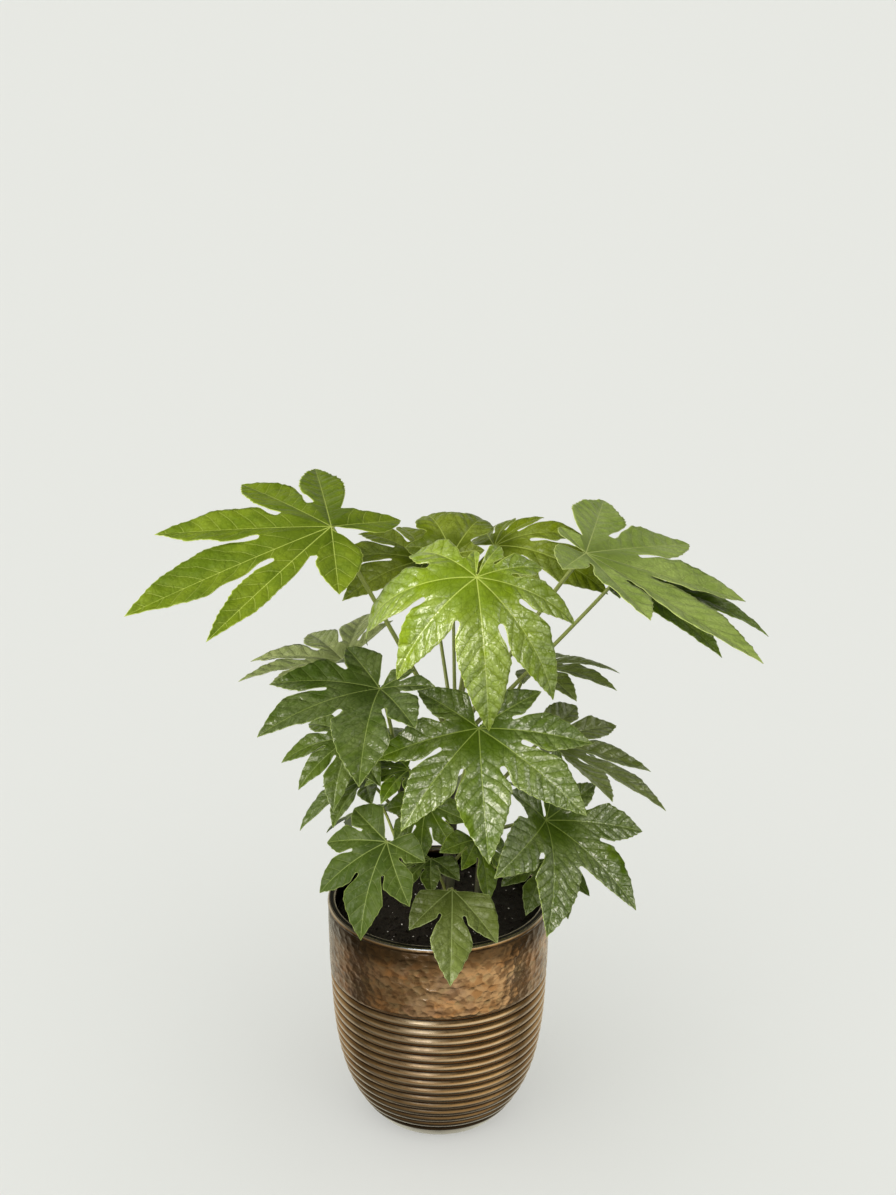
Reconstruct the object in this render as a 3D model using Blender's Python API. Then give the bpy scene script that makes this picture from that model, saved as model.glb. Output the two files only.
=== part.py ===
"""A potted fatsia: a hammered and ribbed bronze pot, its compost, four leafy stems and their
lobed leaves. Metres, +Z up, the pot's foot centred on the origin, and -Y towards the viewer."""

import math

import bmesh
import bpy
from mathutils import Euler, Vector
from mathutils.bvhtree import BVHTree

for old in list(bpy.data.objects):
    bpy.data.objects.remove(old, do_unlink=True)

MM = 0.001

# Pot
POT_HEIGHT = 262 * MM
FOOT_RADIUS = 66 * MM
BODY_RADIUS = 120.5 * MM
POT_SWELL = 50 * MM
LIP_WIDTH = 8.5 * MM
LIP_DEPTH = 8 * MM
POT_WALL = 5 * MM
POT_FLOOR = 8 * MM
RIB_COUNT = 14
RIB_TOP = 175 * MM
RIB_BOTTOM = 22 * MM
RIB_RELIEF = 2.6 * MM
TURN_STEPS = 40

# Compost
SOIL_TOP = 243 * MM
SOIL_MOUND = 5 * MM
CLEARANCE = 0.4 * MM

# Plant
BLADE_THICKNESS = 0.8 * MM
BAY_OPENING = 0.02
VEIN_FOLD = 0.2
FOLD_START = 20 * MM
STALK_NOTCH = 4 * MM
SKIRT = 1.3
STEM_RADIUS = 5.5 * MM
STEM_DEPTH = 60 * MM
STALK_SEAT = 0.3 * MM


def finish(name, colour, roughness, metallic=0.0):
    """A Principled material."""
    material = bpy.data.materials.new(name)
    material.use_nodes = True
    shader = material.node_tree.nodes["Principled BSDF"]
    shader.inputs["Base Color"].default_value = (*colour, 1.0)
    shader.inputs["Roughness"].default_value = roughness
    shader.inputs["Metallic"].default_value = metallic
    return material


def place(name, data, material):
    """A new object in the scene with its own copy of the material."""
    obj = bpy.data.objects.new(name, data)
    bpy.context.scene.collection.objects.link(obj)
    own = material.copy()
    own.name = name + "_finish"
    data.materials.clear()
    data.materials.append(own)
    return obj


def applied(obj):
    """The mesh that the object's modifiers, or a curve's bevel, give."""
    bpy.context.view_layer.update()
    graph = bpy.context.evaluated_depsgraph_get()
    return bpy.data.meshes.new_from_object(obj.evaluated_get(graph), depsgraph=graph)


def boolean(obj, other, operation):
    """Joins the other object to this one, or cuts with it, and then removes it."""
    step = obj.modifiers.new(operation.title(), "BOOLEAN")
    step.operation = operation
    step.solver = "EXACT"
    step.object = other
    mesh = applied(obj)
    obj.modifiers.clear()
    obj.data = mesh
    bpy.data.objects.remove(other, do_unlink=True)


def turned(name, profile, material):
    """Spins a profile of (radius, height) points that starts and ends on the Z axis."""
    bm = bmesh.new()
    points = [bm.verts.new((radius, 0, height)) for radius, height in profile]
    edges = [bm.edges.new(pair) for pair in zip(points, points[1:])]
    up = (0, 0, 1)
    bmesh.ops.spin(bm, geom=points + edges, axis=up, angle=math.tau, steps=TURN_STEPS, use_merge=True)
    bmesh.ops.remove_doubles(bm, verts=bm.verts, dist=1e-5)
    bmesh.ops.recalc_face_normals(bm, faces=bm.faces)
    mesh = bpy.data.meshes.new(name)
    bm.to_mesh(mesh)
    bm.free()
    mesh.shade_smooth()
    return place(name, mesh, material)


# The pot is one turned shell: a plain hammered band above, grooves between round ribs below.
def side_radius(height):
    """Outer radius of the pot's body at a height, before the grooves."""
    return BODY_RADIUS - (BODY_RADIUS - FOOT_RADIUS) * math.exp(-height / POT_SWELL)


bronze = finish("bronze", (0.30, 0.17, 0.09), 0.35, 0.85)
pitch = (RIB_TOP - RIB_BOTTOM) / RIB_COUNT
side = [(0, 0), (FOOT_RADIUS, 0), (side_radius(RIB_BOTTOM / 2), RIB_BOTTOM / 2)]
for rib in range(RIB_COUNT):
    groove = RIB_BOTTOM + rib * pitch
    crest = groove + pitch / 2
    side.append((side_radius(groove) - RIB_RELIEF, groove))
    side.append((side_radius(crest), crest))
side.append((side_radius(RIB_TOP) - RIB_RELIEF, RIB_TOP))
side.append((side_radius(RIB_TOP), RIB_TOP + 3 * MM))
lip_base = POT_HEIGHT - LIP_DEPTH
lip_round = 2 * MM
lip_bore = BODY_RADIUS - LIP_WIDTH
lip = [
    (side_radius(lip_base) - 1.2 * MM, lip_base),
    (BODY_RADIUS, lip_base + lip_round),
    (BODY_RADIUS, POT_HEIGHT - lip_round),
    (BODY_RADIUS - lip_round, POT_HEIGHT),
    (lip_bore + lip_round, POT_HEIGHT),
    (lip_bore, POT_HEIGHT - lip_round),
    (lip_bore, lip_base),
]
bore_heights = [lip_base - 8 * MM, 150 * MM, 90 * MM, 50 * MM, 25 * MM, POT_FLOOR]
bore = [(side_radius(height) - POT_WALL, height) for height in bore_heights]
pot = turned("pot", side + lip + bore + [(0, POT_FLOOR)], bronze)

# The compost fills the pot to a little below the lip, and each stem stands in a plain hole in it.
compost = finish("compost", (0.02, 0.016, 0.012), 0.95)
fill = [(0, POT_FLOOR + CLEARANCE)]
for height in reversed(bore_heights[1:]):
    fill.append((side_radius(height) - POT_WALL - CLEARANCE, height + CLEARANCE))
fill.append((side_radius(SOIL_TOP) - POT_WALL - 4 * MM, SOIL_TOP - 8 * MM))
fill.append((side_radius(SOIL_TOP) - POT_WALL - 6 * MM, SOIL_TOP))
fill.append((BODY_RADIUS * 0.5, SOIL_TOP + SOIL_MOUND * 0.7))
fill.append((0, SOIL_TOP + SOIL_MOUND))
soil = turned("compost", fill, compost)


def hole(x, y):
    """Cuts one stem's hole in the compost."""
    depth = STEM_DEPTH + 2 * SOIL_MOUND
    bm = bmesh.new()
    radius = STEM_RADIUS + CLEARANCE
    bmesh.ops.create_cone(bm, cap_ends=True, segments=12, radius1=radius, radius2=radius, depth=depth)
    bmesh.ops.translate(bm, verts=bm.verts, vec=(x, y, SOIL_TOP - STEM_DEPTH - CLEARANCE + depth / 2))
    mesh = bpy.data.meshes.new("hole")
    bm.to_mesh(mesh)
    bm.free()
    boolean(soil, place("hole", mesh, compost), "DIFFERENCE")


# Leaf blades. A lobe is given by its direction from the middle one, in degrees to the left as
# seen from above, its length in millimetres and, where it isn't 1, how broad it is for its kind.
# The blade lies flat first, then bends down along every vein and folds up between them, and is
# then set on the end of its stalk.
leaf_green = {
    "young": finish("young_leaf", (0.23, 0.36, 0.05), 0.4),
    "grown": finish("grown_leaf", (0.09, 0.20, 0.04), 0.4),
    "old": finish("old_leaf", (0.05, 0.13, 0.04), 0.4),
}
MARGIN = {
    2: [(0.14, 1.0), (0.30, 1.0), (0.40, 1.06), (0.45, 0.94), (0.62, 1.10), (0.67, 0.95), (0.84, 1.0)],
    1: [(0.16, 1.0), (0.40, 1.05), (0.46, 0.93), (0.72, 1.0)],
}
stalks = {}
VEIN_STOPS = {2: [0.3, 0.45, 0.62, 0.8], 1: [0.35, 0.65]}


def lobe_shape(share, belly):
    """Half-width of a lobe at a share of its length, against its widest, which is at the belly."""
    if share < belly:
        return math.sin(math.pi / 2 * (share / belly)) ** 1.15
    fall = (share - belly) / (1 - belly)
    return (1 - fall) ** 1.1 * (1 + 1.05 * fall)


def margin_angle(share, half_gap, half_width, belly):
    """Angle between a lobe's vein and its edge at a share of its length, both widths against it."""
    room = share * math.sin(half_gap) - BAY_OPENING
    return math.asin(min(half_width * lobe_shape(share, belly), room) / share)


def blade_point(radius, angle, off_vein, length, cone, droop):
    """A flat leaf's polar point put on the bent leaf."""
    turn = droop * radius / length
    across = length / droop * (math.sin(cone + turn) - math.sin(cone))
    height = length / droop * (math.cos(cone + turn) - math.cos(cone))
    height += VEIN_FOLD * radius * abs(math.sin(off_vein)) * min(1, radius / FOLD_START)
    return Vector((across * math.cos(angle), across * math.sin(angle), height))


def leaf(
    name, at, heading, tilt, roll, cone, droop, lobes, stem,
    age="grown", width=0.18, belly=0.54, cut=0.35, teeth=2,
):
    """A leaf blade: its base at a point in mm, its heading, and how far its nose tips down."""
    angles = [math.radians(lobe[0]) for lobe in lobes]
    lengths = [lobe[1] * MM for lobe in lobes]
    widths = [width * (lobe[2] if len(lobe) > 2 else 1) for lobe in lobes]
    longest = max(lengths)
    cone = math.radians(cone)
    droop = math.radians(droop)
    pose = Euler((math.radians(roll), math.radians(tilt), math.radians(heading)), "XYZ").to_matrix()
    bm = bmesh.new()

    def corner(radius, angle, off_vein=0.0):
        flat = blade_point(radius, angle, off_vein, longest, cone, droop)
        return bm.verts.new(pose @ flat + Vector(at) * MM)

    base = corner(1e-5, 0)
    behind = min(math.radians(38), (math.tau - angles[-1] + angles[0]) / 2 - math.radians(4))
    bays = [(STALK_NOTCH, angles[0] - behind, behind)]
    for left in range(1, len(lobes)):
        half = (angles[left] - angles[left - 1]) / 2
        pair = (lengths[left], lengths[left - 1])
        reach = min(cut * sum(pair) / 2, 0.7 * min(pair))
        bays.append((reach, angles[left] - half, half))
    bays.append((STALK_NOTCH, angles[-1] + behind, behind))
    bay_points = [corner(reach, angle, half) for reach, angle, half in bays]
    for index, (angle, length) in enumerate(zip(angles, lengths)):
        tip = corner(length, angle)
        vein = [(0.0, base)]
        vein += [(share, corner(share * length, angle)) for share in VEIN_STOPS[teeth]]
        vein.append((1.0, tip))
        for side_sign in (-1, 1):
            bay = index + (side_sign > 0)
            reach, _, half_gap = bays[bay]
            half_width = widths[index] * (SKIRT if bay in (0, len(lobes)) else 1)
            start = reach / length
            edge = [(start, bay_points[bay])]
            for share, ripple in MARGIN[teeth]:
                share = start + (1 - start) * share
                spread = margin_angle(share, half_gap, half_width * ripple, belly)
                edge.append((share, corner(share * length, angle + side_sign * spread, spread)))
            edge.append((1.0, tip))
            i, j = 0, 0
            while i < len(edge) - 1 or j < len(vein) - 2:
                step_edge = i < len(edge) - 1 and (j == len(vein) - 2 or edge[i + 1][0] <= vein[j + 1][0])
                third = edge[i + 1][1] if step_edge else vein[j + 1][1]
                face = (vein[j][1], edge[i][1], third)
                bm.faces.new(face if side_sign < 0 else face[::-1])
                if step_edge:
                    i += 1
                else:
                    j += 1
    mesh = bpy.data.meshes.new(name)
    bm.to_mesh(mesh)
    bm.free()
    mesh.shade_smooth()
    obj = place(name, mesh, leaf_green[age])
    thicken = obj.modifiers.new("Thickness", "SOLIDIFY")
    thicken.thickness = BLADE_THICKNESS
    thicken.offset = -1
    thicken.use_quality_normals = True
    base_point = Vector(at) * MM
    below = pose @ Vector((-1 * MM, 0, -BLADE_THICKNESS - CLEARANCE - 1.5 * MM))
    arrival = pose @ Vector((0.6, 0, 0.8))
    stalks.setdefault(stem[0], []).append((obj, base_point, base_point + below, arrival, longest, stem[1]))


# Stems and stalks. A stem rises straight from its hole and then leans; each stalk grows out of
# it at a height and ends just below its leaf's base.
bark = finish("stem", (0.16, 0.17, 0.06), 0.55)


def rod(name, points, handles, radii, resolution):
    """A round tapering rod along a Bezier path."""
    curve = bpy.data.curves.new(name, "CURVE")
    curve.dimensions = "3D"
    curve.resolution_u = resolution
    curve.bevel_depth = 1.0
    curve.bevel_resolution = 1
    curve.use_fill_caps = True
    spline = curve.splines.new("BEZIER")
    spline.bezier_points.add(len(points) - 1)
    for knot, point, (before, after), radius in zip(spline.bezier_points, points, handles, radii):
        knot.co = point
        knot.handle_left = before
        knot.handle_right = after
        knot.radius = radius
    obj = place(name, curve, bark)
    mesh = applied(obj)
    bpy.data.objects.remove(obj, do_unlink=True)
    return mesh


def stalk(root, end, arrival, radius):
    """One leaf's stalk, from its stem to just below the blade."""
    run = end - root
    last = run.normalized() * 0.75 + arrival * 0.25
    handles = [(root - run * 0.1, root + run * 0.3), (end - last * run.length * 0.3, end + last)]
    return rod("stalk", [root, end], handles, [radius * 1.35, radius], 5)


def spacing(mesh, other, near):
    """Smallest distance between two meshes round a point, measured along their edges."""
    closest = 1.0
    for edged, faced in ((mesh, other), (other, mesh)):
        tree = BVHTree.FromPolygons([v.co for v in faced.vertices], [f.vertices for f in faced.polygons])
        for edge in edged.edges:
            start, stop = (edged.vertices[end].co for end in edge.vertices)
            if min((start - near).length, (stop - near).length) > 25 * MM:
                continue
            for step in range(9):
                closest = min(closest, tree.find_nearest(start.lerp(stop, step / 8))[3])
    return closest


def stem(name, foot, top):
    """A stem from its hole in the compost to its top."""
    foot_end = Vector((foot[0] * MM, foot[1] * MM, SOIL_TOP - STEM_DEPTH))
    collar = Vector((foot[0] * MM, foot[1] * MM, SOIL_TOP + SOIL_MOUND + 5 * MM))
    tip = Vector(top) * MM
    lean = (tip - collar) * 0.2
    up = Vector((0, 0, 0.02))
    points = [foot_end, collar, tip]
    handles = [(foot_end - up, foot_end + up), (collar - up, collar + lean), (tip - lean, tip + lean)]
    hole(foot[0] * MM, foot[1] * MM)
    radii = [STEM_RADIUS * 0.97, STEM_RADIUS * 0.97, STEM_RADIUS * 0.8]
    obj = place(name, rod(name, points, handles, radii, 3), bark)
    for blade, base_point, end, arrival, length, at_height in stalks[name]:
        share = (at_height * MM - collar.z) / (tip.z - collar.z)
        root = collar.lerp(tip, share)
        radius = 1.3 * MM + length * 0.004
        sheet = applied(blade)
        mesh = stalk(root, end, arrival, radius)
        for _ in range(8):
            room = spacing(mesh, sheet, base_point)
            if room < STALK_SEAT * 1.1:
                break
            end = end + (base_point - end).normalized() * (room - STALK_SEAT)
            mesh = stalk(root, end, arrival, radius)
        boolean(obj, place("stalk", mesh, bark), "UNION")
    obj.data.shade_smooth()
    return obj


# The crown: long-stalked leaves at the top of the tall stem.
leaf(
    "leaf_crown_left", at=(-107, -30, 691), heading=164, tilt=-7, roll=-12, cone=12, droop=5,
    age="young",
    lobes=[
        (-126, 90, 1.5), (-66, 225, 0.68), (-40, 195, 1.0), (3, 195, 1.12), (43, 225, 1.05),
        (70, 190, 0.7), (115, 95, 1.4),
    ],
    width=0.16, belly=0.58, stem=("stem_tall", 440),
)
leaf(
    "leaf_crown_front", at=(37, -130, 671), heading=-99, tilt=32, roll=-4, cone=0, droop=93, age="young",
    lobes=[
        (-170, 40, 1.2), (-131, 120, 1.15), (-86, 180, 0.95), (-41, 135, 1.05), (13, 165, 1.0),
        (50, 155, 1.0), (89, 120, 1.0), (124, 80, 1.45), (163, 60, 1.3),
    ],
    width=0.18, belly=0.5, stem=("stem_tall", 455),
)
leaf(
    "leaf_crown_inner_left", at=(-14, 75, 620), heading=-177, tilt=-12, roll=-15, cone=-7, droop=43,
    age="young",
    lobes=[(-113, 60), (-74, 90), (-39, 95), (0, 110), (38, 110), (75, 85), (113, 60)], width=0.21,
    stem=("stem_tall", 450),
)
leaf(
    "leaf_crown_back", at=(15, 35, 640), heading=92, tilt=-42, roll=0, cone=-10, droop=80, age="young",
    lobes=[(-80, 35), (-30, 95), (20, 95), (72, 55)], width=0.24, cut=0.7, stem=("stem_tall", 460),
    teeth=1,
)
leaf(
    "leaf_crown_inner_right", at=(60, 90, 631), heading=-8, tilt=-30, roll=19, cone=-2, droop=78,
    age="young",
    lobes=[(-105, 75), (-70, 100), (-34, 145), (0, 100), (36, 70), (75, 70), (105, 75)], width=0.24,
    stem=("stem_tall", 458),
)
leaf(
    "leaf_crown_right", at=(150, -20, 659.5), heading=6, tilt=19, roll=5, cone=-2, droop=4,
    lobes=[
        (-117, 80, 1.2), (-72, 145, 0.95), (-45, 225, 0.78), (-2, 176, 1.25), (41, 184, 1.0),
        (75, 188, 0.85), (113, 55, 1.3),
    ],
    width=0.19, belly=0.56, stem=("stem_tall", 445),
)
leaf(
    "leaf_crown_under_right", at=(180, 12, 614), heading=12, tilt=1, roll=2, cone=-6, droop=43,
    age="old",
    lobes=[(-95, 40), (-58, 155), (-19, 175), (19, 140), (57, 80), (95, 40)], width=0.14,
    stem=("stem_tall", 435),
)

# The middle tier, on shorter stalks round the side stems.
leaf(
    "leaf_mid_left", at=(-58, -100, 544), heading=-108, tilt=18, roll=4, cone=-20, droop=40, age="old",
    lobes=[(-133, 70), (-82, 115), (-47, 135), (11, 150), (42, 95), (84, 65), (122, 40)], width=0.245,
    belly=0.48, cut=0.42, stem=("stem_left", 405),
)
leaf(
    "leaf_mid_back_left", at=(-99, 30, 522), heading=150, tilt=19, roll=-4, cone=-20, droop=23,
    lobes=[(-113, 75), (-75, 110), (-38, 110), (0, 125), (37, 115), (75, 100), (113, 75)], width=0.19,
    stem=("stem_left", 415),
)
leaf(
    "leaf_mid_under_left", at=(-89, -40, 466), heading=-149, tilt=24, roll=-9, cone=-8, droop=44,
    age="old",
    lobes=[(-115, 55), (-77, 75), (-39, 90), (1, 80), (38, 90), (77, 75), (115, 60)], width=0.19,
    stem=("stem_left", 385), teeth=1,
)
leaf(
    "leaf_low_left", at=(-76, -29, 413), heading=-163, tilt=27, roll=3, cone=-14, droop=42, age="old",
    lobes=[(-120, 50), (-80, 65), (-43, 60), (0, 90), (41, 75), (81, 60), (120, 50)], width=0.2,
    stem=("stem_left", 352), teeth=1,
)
leaf(
    "leaf_mid_front", at=(40, -130, 514), heading=-88, tilt=38, roll=7, cone=-8, droop=41,
    lobes=[(-130, 80), (-80, 110), (-41, 130), (1, 140), (48, 140), (81, 115), (121, 75)], width=0.215,
    belly=0.45, cut=0.36, stem=("stem_front", 390),
)
leaf(
    "leaf_mid_right", at=(108, 0, 442), heading=-34, tilt=27, roll=-14, cone=-21, droop=20,
    lobes=[(-104, 55), (-69, 80), (-32, 140), (0, 155), (33, 125), (74, 120), (98, 95)], width=0.17,
    stem=("stem_right", 370),
)
leaf(
    "leaf_mid_back_right", at=(98, 90, 491), heading=-22, tilt=-6, roll=-2, cone=-7, droop=39, age="old",
    lobes=[(-76, 50), (-37, 95), (-1, 105), (38, 110), (76, 85)], width=0.17, stem=("stem_right", 405),
    teeth=1,
)

# The low leaves over the pot's rim.
leaf(
    "leaf_low_right", at=(109, -110, 404), heading=-30, tilt=48, roll=7, cone=-27, droop=41, age="old",
    lobes=[(-140, 65), (-85, 130), (-52, 145), (5, 130), (51, 115), (89, 75), (134, 80)], width=0.215,
    belly=0.46, cut=0.46, stem=("stem_right", 330),
)
leaf(
    "leaf_low_front_left", at=(-52, -130, 390), heading=-145, tilt=39, roll=-10, cone=-12, droop=46,
    age="old",
    lobes=[(-98, 65), (-61, 75), (-23, 90), (23, 105), (61, 80), (96, 55)], width=0.27, belly=0.48,
    cut=0.44, stem=("stem_left", 310), teeth=1,
)
leaf(
    "leaf_low_front", at=(14, -125, 334), heading=-92, tilt=31, roll=-4, cone=-12, droop=45,
    lobes=[(-41, 65), (1, 105), (40, 75)], width=0.24, belly=0.46, cut=0.4, stem=("stem_front", 290),
    teeth=1,
)
leaf(
    "leaf_hanging_front", at=(-12, -70, 405), heading=-110, tilt=60, roll=0, cone=-5, droop=45,
    lobes=[(-75, 50), (-36, 60), (-1, 65), (38, 60), (75, 50)], width=0.23, belly=0.5, cut=0.42,
    stem=("stem_front", 350), teeth=1,
)
leaf(
    "leaf_low_inner", at=(39, -80, 368), heading=-68, tilt=35, roll=-21, cone=-6, droop=45,
    lobes=[(-76, 50), (-40, 45), (1, 70), (37, 50), (76, 50)], width=0.23, belly=0.5, cut=0.42,
    stem=("stem_front", 320), teeth=1,
)
leaf(
    "leaf_rim_right", at=(114, -50, 329), heading=-67, tilt=28, roll=0, cone=-8, droop=44, age="old",
    lobes=[(-76, 60), (-39, 70), (1, 70), (35, 60), (70, 35)], width=0.22, belly=0.5, cut=0.42,
    stem=("stem_right", 285), teeth=1,
)
leaf(
    "leaf_inner_left", at=(-30, -78, 446), heading=-163, tilt=6, roll=-8, cone=-10, droop=44,
    lobes=[(-77, 45), (-38, 55), (-1, 50), (39, 55), (77, 45)], width=0.22, belly=0.5,
    stem=("stem_left", 375), teeth=1,
)
leaf(
    "leaf_rim_inner", at=(-8, -56, 334), heading=-130, tilt=15, roll=3, cone=-10, droop=39, age="old",
    lobes=[(-70, 35), (-36, 48), (-1, 58), (39, 55), (76, 50)], width=0.22, belly=0.5,
    stem=("stem_front", 280), teeth=1,
)

# Leaves round the back, out of the photograph's sight.
leaf(
    "leaf_back_left", at=(-45, 95, 405), heading=118, tilt=18, roll=4, cone=-14, droop=45, age="old",
    lobes=[(-115, 65), (-77, 95), (-38, 115), (0, 125), (38, 115), (77, 95), (115, 65)], width=0.21,
    belly=0.5, cut=0.4, stem=("stem_left", 365), teeth=1,
)
leaf(
    "leaf_back_right", at=(75, 105, 400), heading=58, tilt=20, roll=-4, cone=-14, droop=45, age="old",
    lobes=[(-115, 65), (-77, 95), (-38, 120), (0, 130), (38, 120), (77, 95), (115, 65)], width=0.21,
    belly=0.5, cut=0.4, stem=("stem_right", 350), teeth=1,
)
leaf(
    "leaf_back_middle", at=(15, 115, 345), heading=90, tilt=28, roll=0, cone=-12, droop=45,
    lobes=[(-115, 55), (-77, 80), (-38, 95), (0, 105), (38, 95), (77, 80), (115, 55)], width=0.21,
    belly=0.5, cut=0.4, stem=("stem_tall", 300), teeth=1,
)
leaf(
    "leaf_back_low_left", at=(-62, 75, 330), heading=128, tilt=28, roll=0, cone=-12, droop=45, age="old",
    lobes=[(-76, 65), (-38, 80), (0, 90), (38, 75), (76, 45)], width=0.22, belly=0.5, cut=0.42,
    stem=("stem_left", 295), teeth=1,
)

stem("stem_tall", foot=(8, 8), top=(18, 6, 465))
stem("stem_left", foot=(-34, 2), top=(-40, -6, 425))
stem("stem_right", foot=(44, 12), top=(52, 12, 415))
stem("stem_front", foot=(10, -40), top=(16, -52, 400))
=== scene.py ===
"""A potted fatsia in a hammered and ribbed bronze pot: its looks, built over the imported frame.
Metres, +Z up, the pot's foot centred on the origin, and -Y towards the viewer."""

import math

import bmesh
import bpy
import numpy as np
from mathutils import Euler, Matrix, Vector, noise


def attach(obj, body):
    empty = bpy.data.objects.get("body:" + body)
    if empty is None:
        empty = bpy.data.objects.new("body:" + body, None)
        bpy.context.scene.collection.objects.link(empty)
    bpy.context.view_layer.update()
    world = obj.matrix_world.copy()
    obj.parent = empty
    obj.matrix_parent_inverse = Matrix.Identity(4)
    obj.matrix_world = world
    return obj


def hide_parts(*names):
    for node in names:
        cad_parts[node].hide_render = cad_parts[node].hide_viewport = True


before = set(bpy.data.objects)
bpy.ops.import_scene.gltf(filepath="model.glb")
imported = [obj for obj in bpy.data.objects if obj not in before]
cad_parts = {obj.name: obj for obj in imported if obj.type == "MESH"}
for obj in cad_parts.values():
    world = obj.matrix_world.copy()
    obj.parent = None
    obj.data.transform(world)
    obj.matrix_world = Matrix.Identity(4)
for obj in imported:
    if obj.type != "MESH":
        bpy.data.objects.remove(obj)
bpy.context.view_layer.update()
MM = 0.001


# The pot is one shell of sheet bronze, spun to shape. Its upper band is hammered by hand and its
# lower part is rolled into round ribs; a brown patina stays in the grooves and is rubbed off the
# high places. The lip is turned over and polished.
POT_HEIGHT = 262 * MM
FOOT_RADIUS = 66 * MM
BODY_RADIUS = 120.5 * MM
POT_SWELL = 50 * MM
LIP_WIDTH = 8.5 * MM
LIP_DEPTH = 8 * MM
LIP_ROLL = 2.6 * MM
POT_WALL = 5 * MM
POT_FLOOR = 8 * MM
INSIDE_HEIGHTS = (225 * MM, 150 * MM, 90 * MM, 50 * MM, 25 * MM)
RIB_COUNT = 14
RIB_TOP = 175 * MM
RIB_BOTTOM = 22 * MM
RIB_RELIEF = 2.6 * MM
POT_STEPS = 300
UV_PER_METRE = 10


def side_radius(height):
    """Outer radius of the pot's body at a height, before the grooves."""
    return BODY_RADIUS - (BODY_RADIUS - FOOT_RADIUS) * math.exp(-height / POT_SWELL)


def smooth(value, low, high):
    """0 below low, 1 above high, and an S-shaped rise between."""
    share = np.clip((value - low) / (high - low), 0, 1)
    return share * share * (3 - 2 * share)


def arc(centre, radius, first, last, count):
    """Points of a profile round a centre, from one angle to another in degrees."""
    turns = np.radians(np.linspace(first, last, count))
    return [(centre[0] + radius * math.cos(turn), centre[1] + radius * math.sin(turn)) for turn in turns]


def pot_profile():
    """(radius, height, depth mark) from the middle of the foot round to the inside floor. The depth mark is
    how deep a point lies in the grooves, and it is high inside the pot, where it stands for painted shade.
    """
    points = [(0, 0, 0), (40 * MM, 0, 0), (FOOT_RADIUS - 1.5 * MM, 0, 0.3), (FOOT_RADIUS, 1.2 * MM, 0)]
    for height in np.arange(4, RIB_BOTTOM / MM - 1, 2.5) * MM:
        points.append((side_radius(height), height, 0))
    pitch = (RIB_TOP - RIB_BOTTOM) / RIB_COUNT
    for rib in range(RIB_COUNT):
        for share in np.linspace(0, 1, 13)[:-1]:
            height = RIB_BOTTOM + (rib + share) * pitch
            groove_and_shade = 1 - math.sin(math.pi * share) ** 0.8
            points.append((side_radius(height) - RIB_RELIEF * groove_and_shade, height, groove_and_shade))
    for rise, groove_and_shade in ((0, 1.0), (0.8, 0.75), (1.6, 0.35), (2.6, 0.1), (4, 0.0)):
        points.append((side_radius(RIB_TOP) - RIB_RELIEF * groove_and_shade, RIB_TOP + rise * MM, groove_and_shade))
    lip_base = POT_HEIGHT - LIP_DEPTH
    for height in np.arange(RIB_TOP / MM + 6.5, lip_base / MM - 3, 2.6) * MM:
        points.append((side_radius(height), height, 0))
    points.append((side_radius(lip_base) - 0.2 * MM, lip_base - 2 * MM, 0.1))
    points.append((side_radius(lip_base) - 0.6 * MM, lip_base - 0.6 * MM, 0.5))
    points.append((side_radius(lip_base) - 0.6 * MM, lip_base + 0.4 * MM, 0.6))
    bore = BODY_RADIUS - LIP_WIDTH
    inner, outer = bore + LIP_ROLL, BODY_RADIUS - LIP_ROLL
    for centre, first, last, count, depth in (
        ((outer, lip_base + 3.4 * MM), -60, 0, 5, 0.4),
        ((outer, POT_HEIGHT - LIP_ROLL), 5, 15, 2, 0.4),
        ((outer, POT_HEIGHT - LIP_ROLL), 25, 65, 5, 0.0),
    ):
        points += [(*place, depth) for place in arc(centre, LIP_ROLL, first, last, count)]
    points += [(radius, POT_HEIGHT - 0.3 * MM, 0.9) for radius in (outer, inner)]
    points += [(*place, 0.0) for place in arc((inner, POT_HEIGHT - LIP_ROLL), LIP_ROLL, 115, 180, 6)]
    # From the lip's inner edge down, the inside of the pot is marked deep, which paints it near black:
    # painted shade.
    points.append((bore, lip_base, 0.9))
    for height in (lip_base - 8 * MM, *INSIDE_HEIGHTS, POT_FLOOR):
        points.append((side_radius(height) - POT_WALL, height, 1.0))
    points.append((0, POT_FLOOR, 1.0))
    return points


def built(name, bm, rounded=True):
    """The mesh of what has been built, shaded as one round surface or with its facets showing."""
    mesh = bpy.data.meshes.new(name)
    bm.to_mesh(mesh)
    bm.free()
    if rounded:
        mesh.shade_smooth()
    return mesh


def turned(name, profile, steps, wobble):
    """A turned shell with two UV values at each point: its depth mark, which is how deep it lies in the
    grooves outside and painted shade inside the pot, and its height.
    """
    bm = bmesh.new()
    depths = bm.loops.layers.uv.new("worn")
    rings = []
    for radius, height, _ in profile:
        if radius == 0:
            rings.append([bm.verts.new((0, 0, height))] * steps)
            continue
        ring = []
        for step in range(steps):
            turn = math.tau * step / steps
            away = radius + wobble(radius, height, turn)
            ring.append(bm.verts.new((away * math.cos(turn), away * math.sin(turn), height)))
        rings.append(ring)
    for index, (low, high) in enumerate(zip(rings, rings[1:])):
        for step in range(steps):
            follow = (step + 1) % steps
            corners = (low[step], low[follow], high[follow], high[step])
            marks = dict(zip(corners, (index, index, index + 1, index + 1)))
            for loop, mark in zip(bm.faces.new(list(marks)).loops, marks.values()):
                loop[depths].uv = (profile[mark][2], profile[mark][1] * UV_PER_METRE)
    return built(name, bm)


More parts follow.
